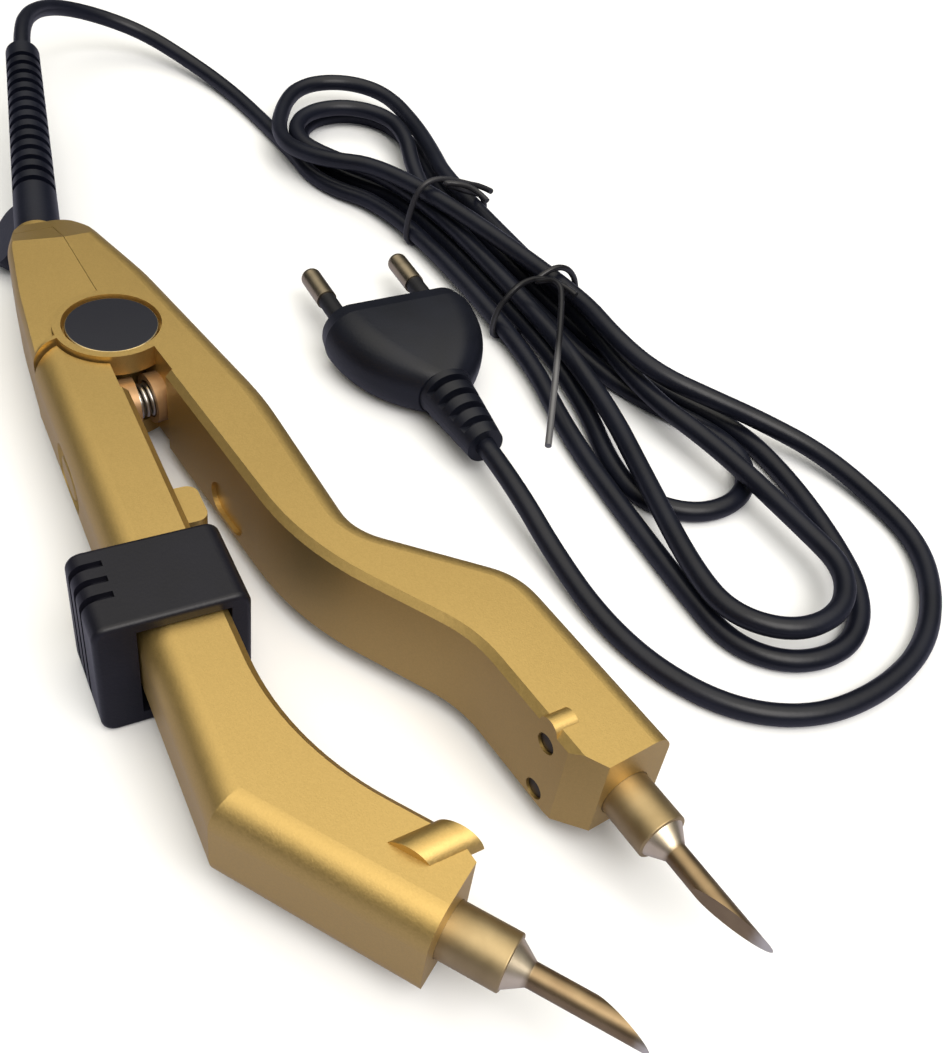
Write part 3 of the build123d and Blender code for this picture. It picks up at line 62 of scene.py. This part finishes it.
yaw, pitch, roll = math.radians(142.94), math.radians(43.92), math.radians(-9.70)
forward = np.array((math.cos(yaw) * math.cos(pitch), math.sin(yaw) * math.cos(pitch), -math.sin(pitch)))
level = np.array((math.sin(yaw), -math.cos(yaw), 0.0))
below = np.cross(forward, level)
right = math.cos(roll) * level + math.sin(roll) * below
down = -math.sin(roll) * level + math.cos(roll) * below
camera_data = bpy.data.cameras.new("camera")
camera_data.sensor_fit = "HORIZONTAL"
camera_data.sensor_width = SENSOR_WIDTH
camera_data.lens = FOCAL_PIXELS / PICTURE_WIDTH_PIXELS * SENSOR_WIDTH
camera_data.clip_start = 0.01
camera = bpy.data.objects.new("camera", camera_data)
bpy.context.collection.objects.link(camera)
camera.matrix_world = Matrix(
    [[*row] for row in zip(right, -down, -forward, place(*CAMERA_PLACE))] + [[0, 0, 0, 1]]
)
bpy.context.scene.camera = camera
bpy.context.scene.view_settings.view_transform = "Standard"


# Cord: its route from the strain relief, in millimetres from the hinge axis, through a hank of seven
# runs with three folds at each end, to the plug
CORD = 3.6
LOW = CORD / 2 + 0.05  # height of a run that lies on the table
NEXT = LOW + 4.2  # height of a run that lies on another
WAIST = LOW + 1.35  # the same two heights over the ties, which run under the hank
WAIST_NEXT = NEXT + 1.35
ON_TOP = 11.6  # height of the last run, over both layers

lead = [
    (-101.8, 15.0, 18.0), (-112.4, 17.7, 19.2), (-123.6, 23.4, 18.0), (-132.0, 31.8, 14.6),
    (-134.2, 42.0, 10.4), (-131.0, 51.6, 6.6), (-121.4, 58.2, 3.8), (-108.5, 63.0, 2.2),
    (-94.5, 65.0, LOW), (-74.0, 66.0, LOW),
]
outer_fold = [
    (-58.0, 65.4, LOW), (-42.0, 75.8, WAIST), (12.0, 76.0, WAIST), (36.0, 70.6, LOW), (58.0, 68.2, LOW),
    (77.0, 66.8, LOW), (89.5, 66.6, LOW), (97.0, 73.6, LOW), (98.0, 84.6, LOW), (90.6, 93.8, LOW),
    (77.5, 98.6, LOW), (62.0, 101.6, LOW), (48.0, 101.8, LOW), (33.0, 95.2, LOW), (14.0, 88.8, WAIST),
]
low_left_fold = [
    (-42.0, 88.8, WAIST), (-56.0, 91.8, LOW), (-66.0, 94.2, LOW), (-79.0, 94.0, LOW), (-86.1, 86.9, LOW),
    (-86.1, 76.9, LOW), (-79.0, 69.8, LOW), (-66.0, 69.6, LOW), (-56.0, 73.2, LOW), (-42.0, 80.4, WAIST),
]
short_fold = [
    (12.0, 80.4, WAIST), (31.0, 78.2, LOW), (46.4, 73.0, LOW), (56.4, 72.8, LOW), (63.5, 79.9, LOW),
    (63.5, 89.9, LOW), (56.4, 97.0, LOW), (46.0, 96.8, LOW), (30.0, 88.0, LOW), (12.0, 84.6, WAIST),
]
second_left_fold = [
    (-42.0, 84.6, WAIST), (-54.0, 87.0, 4.4), (-65.0, 91.0, NEXT), (-75.2, 91.1, NEXT), (-82.3, 84.0, NEXT),
    (-82.3, 73.9, NEXT), (-75.2, 66.8, NEXT), (-64.6, 66.8, NEXT), (-42.0, 80.4, WAIST_NEXT),
]
upper_fold = [
    (12.0, 80.4, WAIST_NEXT), (36.0, 78.6, NEXT), (56.0, 73.0, NEXT), (76.8, 67.4, NEXT), (86.9, 67.3, NEXT),
    (94.0, 74.4, NEXT), (94.0, 84.4, NEXT), (86.9, 91.5, NEXT), (76.8, 91.6, NEXT), (54.0, 90.8, NEXT),
    (36.0, 87.2, NEXT), (12.0, 88.8, WAIST_NEXT),
]
outer_left_fold = [
    (-42.0, 88.8, WAIST_NEXT), (-55.0, 92.6, 6.6), (-69.0, 95.6, NEXT), (-84.6, 96.4, NEXT),
    (-93.2, 90.6, NEXT), (-95.6, 81.0, NEXT), (-90.4, 72.0, NEXT), (-73.0, 61.6, NEXT),
    (-58.0, 64.0, 8.4), (-44.0, 76.2, ON_TOP),
]
tail = [
    (10.0, 87.8, ON_TOP), (26.5, 86.4, ON_TOP), (36.5, 88.8, 10.4), (44.0, 95.8, 8.4), (51.0, 104.2, 5.4),
    (60.5, 110.8, 3.4), (73.0, 113.2, 2.2), (85.5, 112.4, LOW), (96.2, 104.8, LOW), (103.6, 94.6, LOW),
    (106.8, 82.0, LOW), (106.0, 69.2, LOW), (99.6, 58.8, LOW), (88.6, 52.6, LOW), (76.0, 50.2, 2.2),
    (62.0, 50.5, 3.4), (48.7, 50.9, 6.4), (37.75, 51.5, 6.4),
]
folds = outer_fold + low_left_fold + short_fold + second_left_fold + upper_fold + outer_left_fold
route = [place(*point) for point in lead + folds + tail]


SPLINE_STEPS = 10
ROUND_STEPS = 5


def spline_curve(name, points, diameter):
    """Round cord along one open NURBS spline whose control points are the given points.

    The bevel has a depth of 1, so each point's radius is the cord's own.
    """
    data = bpy.data.curves.new(name, "CURVE")
    data.dimensions = "3D"
    spline = data.splines.new("NURBS")
    spline.points.add(len(points) - 1)
    spline.points.foreach_set("co", np.c_[np.array(points), np.ones(len(points))].ravel())
    spline.points.foreach_set("radius", np.full(len(points), diameter / 2))
    spline.order_u = 3
    spline.use_endpoint_u = True
    spline.resolution_u = SPLINE_STEPS
    data.bevel_depth = 1.0
    data.bevel_resolution = ROUND_STEPS
    data.use_fill_caps = True
    curve = bpy.data.objects.new(name, data)
    bpy.context.collection.objects.link(curve)
    return curve


cord = spline_curve("cord", route, CORD / MILLIMETRES_PER_METRE)
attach(cord, "base")
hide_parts("cord_lead", "cord_hank", "cord_tail")


# Return spring: the solid's coil on a mesh of its own (the real coil shortens as the arms close)
coil = bpy.data.objects.new("spring_coil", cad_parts["return_spring"].data.copy())
bpy.context.collection.objects.link(coil)
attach(coil, "base")
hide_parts("return_spring")
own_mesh(coil)


# Ties: a thin wire drawn tight round the hank's seven strands, its ends crossed on top
TIE_WIRE = 1.2
TIE_LEAN = 0.7
LEFT_STATION = -31.0
RIGHT_STATION = 5.0
left_ring = [
    (88.0, 12.2), (80.4, 15.2), (75.6, 14.2), (73.4, 8.0), (73.0, 1.2), (77.0, 0.7), (88.0, 0.7), (92.2, 1.4),
    (91.8, 9.4), (86.4, 11.4), (79.6, 14.8),
]
right_ring = [
    (79.0, 12.2), (76.4, 10.4), (73.6, 7.0), (73.0, 1.2), (77.0, 0.7), (88.0, 0.7), (92.2, 1.4), (91.8, 9.4),
    (88.8, 14.0), (84.6, 15.2), (80.0, 12.6),
]


def tie(node, station, ring, first_end, last_end):
    """Wire that starts at one free end, goes once round the hank and leaves at its other end.

    The ring's points are (y, z) at a station along x, and lean along x from one end to the other.
    """
    slide = np.linspace(-TIE_LEAN, TIE_LEAN, len(ring))
    points = [place(*point) for point in first_end]
    points += [place(station + shift, y, z) for shift, (y, z) in zip(slide, ring)]
    points += [place(*point) for point in last_end]
    wire = spline_curve(node + "_wire", points, TIE_WIRE / MILLIMETRES_PER_METRE)
    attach(wire, "base")
    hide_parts(node)
    return wire


left_tie = tie(
    "hank_tie_left", LEFT_STATION, left_ring,
    [(-24.0, 88.4, 14.6), (-27.4, 88.0, 14.0), (-30.8, 87.8, 12.6)],
    [(-29.0, 84.0, 14.4), (-25.0, 85.6, 14.8), (-21.5, 86.0, 14.2)],
)
right_tie = tie(
    "hank_tie_right", RIGHT_STATION, right_ring,
    [(14.5, 84.2, 14.6), (11.4, 83.6, 15.0), (6.0, 81.6, 13.8)],
    [(9.0, 83.2, 15.2), (14.6, 81.6, 14.6), (43.8, 60.2, 8.4)],
)


class Sock:
    """A node socket with arithmetic: an expression on it adds Math nodes."""

    def __init__(self, maker, socket):
        self.maker, self.socket = maker, socket

    def math(self, operation, *values):
        return self.maker.node("ShaderNodeMath", {"operation": operation}, dict(enumerate(values)))

    def __add__(self, other):
        return self.math("ADD", self, other)

    def __radd__(self, other):
        return self.math("ADD", other, self)

    def __sub__(self, other):
        return self.math("SUBTRACT", self, other)

    def __rsub__(self, other):
        return self.math("SUBTRACT", other, self)

    def __mul__(self, other):
        return self.math("MULTIPLY", self, other)

    def __rmul__(self, other):
        return self.math("MULTIPLY", other, self)

    def __pow__(self, other):
        return self.math("POWER", self, other)

    def between(self, low, high):
        """0 below low, 1 above high, smooth between."""
        settings = {"interpolation_type": "SMOOTHSTEP"}
        inputs = {"Value": self, "From Min": low, "From Max": high}
        return self.maker.node("ShaderNodeMapRange", settings, inputs)


# Places of the colour sockets on a Mix node
MIX_FACTOR, MIX_FIRST, MIX_SECOND, MIX_RESULT = 0, 6, 7, 2


class Graph:
    """A node tree under construction."""

    def __init__(self, tree):
        self.tree = tree

    def feed(self, entry, value):
        """Links a socket to an input, or sets the input to a number, a vector or a colour."""
        if isinstance(value, Sock):
            self.tree.links.new(value.socket, entry)
        elif isinstance(value, (int, float)) or len(value) == len(entry.default_value):
            entry.default_value = value
        else:
            entry.default_value = (*value, 1.0)

    def node(self, kind, settings=None, inputs=None, output=0):
        """Any node: its settings first, then the values or links of its sockets."""
        made = self.tree.nodes.new(kind)
        for key, value in (settings or {}).items():
            setattr(made, key, value)
        for key, value in (inputs or {}).items():
            self.feed(made.inputs[key], value)
        return Sock(self, made.outputs[output])

    def at(self):
        """Place on the piece, in metres."""
        return self.node("ShaderNodeTexCoord", output="Object")

    def noise(self, scale, detail=2.0):
        inputs = {"Vector": self.at(), "Scale": scale, "Detail": detail}
        return self.node("ShaderNodeTexNoise", None, inputs)

    def grains(self, scale):
        """Random value of each small cell."""
        cells = self.node("ShaderNodeTexVoronoi", None, {"Vector": self.at(), "Scale": scale}, "Color")
        return self.node("ShaderNodeSeparateColor", None, {"Color": cells})

    def blend(self, mask, first, second):
        """Colour that goes from first to second as the mask goes from 0 to 1."""
        made = self.tree.nodes.new("ShaderNodeMix")
        made.data_type = "RGBA"
        for place_of, value in ((MIX_FACTOR, mask), (MIX_FIRST, first), (MIX_SECOND, second)):
            self.feed(made.inputs[place_of], value)
        return Sock(self, made.outputs[MIX_RESULT])

    def along(self, origin, direction):
        """Distance from a point along a direction, in millimetres."""
        inputs = {0: self.at(), 1: tuple(origin)}
        shifted = self.node("ShaderNodeVectorMath", {"operation": "SUBTRACT"}, inputs)
        direction = tuple(np.array(direction) / np.linalg.norm(direction) * MILLIMETRES_PER_METRE)
        inputs = {0: shifted, 1: direction}
        return self.node("ShaderNodeVectorMath", {"operation": "DOT_PRODUCT"}, inputs, "Value")

    def bump(self, height, distance, strength):
        """Normal of a surface raised by a height times a distance in metres."""
        inputs = {"Height": height, "Distance": distance, "Strength": strength}
        return self.node("ShaderNodeBump", None, inputs)


class Finish(Graph):
    """A material under construction: one Principled shader and the nodes that feed it."""

    def __init__(self, name, **constants):
        self.material = bpy.data.materials.new(name)
        self.material.use_nodes = True
        super().__init__(self.material.node_tree)
        self.shader = self.tree.nodes["Principled BSDF"]
        self.set(**constants)

    def set(self, **values):
        """Sets or links inputs of the shader; a name's underscores stand for spaces."""
        for name, value in values.items():
            self.feed(self.shader.inputs[name.replace("_", " ")], value)


def gold_paint(name, light, dark):
    """Satin gold: very fine metallic flakes, a faint slow shift of tone and a slight orange peel."""
    finish = Finish(name, Metallic=0.92, Coat_Weight=0.05, Coat_Roughness=0.35)
    flake = finish.grains(5200.0)
    cloud = finish.noise(25.0)
    tone = (flake * 0.25 + cloud * 0.5).between(0.0, 0.8)
    finish.set(Base_Color=finish.blend(tone, dark, light), Roughness=0.40 + 0.08 * flake + 0.04 * cloud)
    finish.set(Normal=finish.bump(flake * 0.5 + finish.noise(2500.0), 0.00002, 0.45))
    return finish.material


def black_plastic(name, colour, roughness, grain):
    """Near-black moulded plastic with a fine grain and slightly uneven sheen."""
    finish = Finish(name, Specular_IOR_Level=0.35)
    cloud = finish.noise(90.0, 3.0)
    fine = finish.noise(grain)
    lighter = tuple(c * 1.5 for c in colour)
    finish.set(Base_Color=finish.blend(cloud.between(0.3, 0.75), colour, lighter))
    finish.set(Roughness=roughness + 0.12 * (cloud - 0.5) + 0.06 * fine)
    finish.set(Normal=finish.bump(fine, 0.00005, 0.4))
    return finish.material


def satin_metal(name, light, dark, roughness):
    """Coated metal with a soft sheen and a very fine grain."""
    finish = Finish(name, Metallic=1.0)
    cloud = finish.noise(220.0, 3.0)
    fine = finish.noise(3000.0)
    finish.set(Base_Color=finish.blend(cloud.between(0.25, 0.8), dark, light))
    finish.set(Roughness=roughness + 0.08 * cloud + 0.05 * fine)
    finish.set(Normal=finish.bump(fine, 0.00001, 0.4))
    return finish.material


BADGE_RIM = 7.4
RIM_BLUR = 0.06


def rimmed_black(name, centre, radius, colour, rim):
    """Glossy black disc whose edge beyond a radius, in millimetres, is bright metal."""
    finish = Finish(name, Coat_Weight=0.5, Coat_Roughness=0.08)
    across, along = finish.along(centre, (1, 0, 0)), finish.along(centre, (0, 1, 0))
    from_centre = (across * across + along * along) ** 0.5
    edge = from_centre.between(radius - RIM_BLUR, radius + RIM_BLUR)
    cloud = finish.noise(120.0)
    finish.set(Base_Color=finish.blend(edge, colour, rim), Metallic=edge)
    finish.set(Roughness=0.14 + 0.08 * cloud + 0.1 * edge)
    finish.set(Normal=finish.bump(cloud, 0.00002, 0.3))
    return finish.material


def plain_finish(name, colour, roughness, metallic=0.0):
    """Even finish with faint mottling and grain, for small and inner pieces."""
    finish = Finish(name, Metallic=metallic)
    cloud = finish.noise(300.0)
    darker = tuple(c * 0.8 for c in colour)
    finish.set(Base_Color=finish.blend(cloud.between(0.25, 0.75), darker, colour))
    finish.set(Roughness=roughness + 0.1 * cloud)
    finish.set(Normal=finish.bump(finish.noise(900.0), 0.00003, 0.4))
    return finish.material


# Stations along a tip, in millimetres from the end of its cone
ROD_START = (2.2, 3.0)
WORN_START = (16.0, 18.5)


def tip_metal(name, start, turn, reach):
    """Champagne cone, bronze rod and a worn, bare end.

    Stations run from a start, in millimetres from the hinge axis, along a level direction turned
    from x by an angle in degrees; the cone ends at a given reach.
    """
    axis = (math.cos(math.radians(turn)), math.sin(math.radians(turn)), 0)
    tip = Finish(name, Metallic=1.0)
    station = tip.along(place(*start), axis) - reach
    cloud = tip.noise(400.0, 3.0)
    rod = (station + cloud * 0.6).between(*ROD_START)
    worn = (station + cloud * 1.6).between(*WORN_START)
    champagne = tip.blend(cloud, (0.70, 0.57, 0.39), (0.85, 0.75, 0.58))
    bronze = tip.blend(cloud, (0.22, 0.15, 0.085), (0.38, 0.28, 0.16))
    bare = tip.blend(worn, bronze, (0.72, 0.68, 0.60))
    tip.set(Base_Color=tip.blend(rod, champagne, bare), Roughness=0.32 + 0.06 * rod + 0.1 * cloud)
    tip.set(Normal=tip.bump(cloud, 0.00002, 0.4))
    return tip.material


def tail_grey(name, edge_y, fade):
    """Black wire that turns grey within a distance past a line across the table, in millimetres."""
    finish = Finish(name, Metallic=0.3)
    past = (-1.0 * finish.along(place(0.0, edge_y, 0.0), (0, 1, 0))).between(0.0, fade)
    sheen = finish.noise(800.0)
    finish.set(Base_Color=finish.blend(past, (0.015, 0.015, 0.018), (0.16, 0.16, 0.17)))
    finish.set(Roughness=0.24 + 0.12 * sheen, Normal=finish.bump(sheen, 0.00002, 0.4))
    return finish.material


def coat(material, *pieces):
    """Gives objects one material."""
    for piece in pieces:
        piece.data.materials.clear()
        piece.data.materials.append(material)


def paint(material, *names):
    """Gives solids, by name, one material."""
    coat(material, *[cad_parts[name] for name in names])


gold = gold_paint("satin gold", (0.64, 0.45, 0.165), (0.52, 0.355, 0.12))
paint(gold, "main_arm_shell", "main_arm_cover", "swing_arm_shell", "swing_arm_cover")
paint(gold, "rear_cover", "power_button")
badge_black = rimmed_black("badge black", HINGE, BADGE_RIM, (0.004, 0.004, 0.010), (0.75, 0.58, 0.30))
paint(badge_black, "badge")
paint(black_plastic("sleeve black", (0.005, 0.005, 0.009), 0.38, 2200.0), "stand_sleeve")
paint(black_plastic("plug black", (0.005, 0.006, 0.011), 0.36, 1800.0), "plug_body")
paint(black_plastic("relief black", (0.004, 0.005, 0.011), 0.36, 1500.0), "strain_relief")
paint(black_plastic("pin sleeve black", (0.008, 0.008, 0.010), 0.45, 1500.0), "plug_pin_sleeves")
coat(black_plastic("cord black", (0.005, 0.006, 0.012), 0.34, 1300.0), cord)
coat(black_plastic("tie black", (0.02, 0.02, 0.024), 0.32, 1500.0), left_tie)
coat(tail_grey("tie grey", 75.0, 5.0), right_tie)
barrel = satin_metal("barrel champagne", (0.50, 0.385, 0.215), (0.38, 0.285, 0.15), 0.44)
paint(barrel, "swing_barrel", "main_barrel")
paint(tip_metal("swing tip metal", (114.5, 0.2, 10.9), 32.0, 8.2), "swing_tip")
paint(tip_metal("main tip metal", (108.3, 30.1, 10.9), 3.6, 7.6), "main_tip")
seat_brown = plain_finish("seat brown", (0.42, 0.25, 0.12), 0.35, 0.5)
paint(seat_brown, "swing_spring_seat", "main_spring_seat")
screw_steel = plain_finish("screw steel", (0.05, 0.04, 0.03), 0.35, 0.9)
paint(screw_steel, "swing_cover_screws", "main_cover_screws")
bright_steel = plain_finish("bright steel", (0.62, 0.60, 0.57), 0.28, 1.0)
paint(bright_steel, "rear_screws", "hinge_pin")
coat(bright_steel, coil)
paint(plain_finish("pin steel", (0.50, 0.41, 0.28), 0.26, 1.0), "plug_pins")
paint(plain_finish("washer", (0.75, 0.75, 0.72), 0.5), "hinge_washer")
ceramic = plain_finish("ceramic", (0.80, 0.77, 0.70), 0.6)
paint(ceramic, "swing_bush", "main_bush", "swing_heater_core", "main_heater_core")
paint(plain_finish("board green", (0.02, 0.13, 0.05), 0.4), "control_board", "switch_board")
wire_red = plain_finish("wire red", (0.45, 0.02, 0.015), 0.4)
paint(wire_red, "swing_wires", "main_wires", "mains_wires")


# Floor and light
FLOOR_SIDE = 1.6
FLOOR_SEEN = (0.94, 0.96, 1.0)
FLOOR_REFLECTED = (0.36, 0.37, 0.50)


def flat_sheet(name, size):
    """Square sheet of a given side on the table."""
    half = size / 2
    corners = [(-half, -half, 0.0), (half, -half, 0.0), (half, half, 0.0), (-half, half, 0.0)]
    mesh = bpy.data.meshes.new(name)
    mesh.from_pydata(corners, [], [(0, 1, 2, 3)])
    sheet = bpy.data.objects.new(name, mesh)
    bpy.context.collection.objects.link(sheet)
    return sheet


floor = flat_sheet("floor", FLOOR_SIDE)
floor_finish = Finish("floor white", Roughness=0.9, Specular_IOR_Level=0.0)
direct = floor_finish.node("ShaderNodeLightPath", output="Is Camera Ray")
floor_finish.set(Base_Color=floor_finish.blend(direct, FLOOR_REFLECTED, FLOOR_SEEN))
coat(floor_finish.material, floor)

# World: white behind the object; what lights it is bright overhead and dim towards the horizon
SKY_DIM = 0.05
SKY_RISE = 1.7
HORIZON_TINT = (0.80, 0.88, 1.0)
ZENITH_TINT = (1.0, 0.95, 0.82)

world = bpy.data.worlds.new("studio")
bpy.context.scene.world = world
world.use_nodes = True
sky = Graph(world.node_tree)
background = sky.tree.nodes["Background"]
direction = sky.node("ShaderNodeTexCoord", output="Generated")
height = sky.node("ShaderNodeSeparateXYZ", None, {"Vector": direction}, "Z")
seen = sky.node("ShaderNodeLightPath", output="Is Camera Ray")
seen = seen.math("MAXIMUM", seen, sky.node("ShaderNodeLightPath", output="Is Transmission Ray"))
glow = SKY_DIM + SKY_RISE * height.between(0.45, 0.95)
tint = sky.blend(height.between(0.2, 0.9), HORIZON_TINT, ZENITH_TINT)
sky.feed(background.inputs["Strength"], seen + (1.0 - seen) * glow)
sky.feed(background.inputs["Color"], sky.blend(seen, tint, (1.0, 1.0, 1.0)))


def lamp(name, position, target, size, power, colour):
    """Square soft lamp that faces a point, in metres and watts."""
    data = bpy.data.lights.new(name, "AREA")
    data.size = size
    data.energy = power
    data.color = colour
    light = bpy.data.objects.new(name, data)
    bpy.context.collection.objects.link(light)
    away = Vector(position) - Vector(target)
    light.matrix_world = Matrix.Translation(position) @ away.to_track_quat("Z", "Y").to_matrix().to_4x4()


lamp("key", (0.62, 0.02, 0.80), (0.0, 0.03, 0.0), 0.7, 6.8, (1.0, 0.96, 0.92))

bpy.context.view_layer.update()
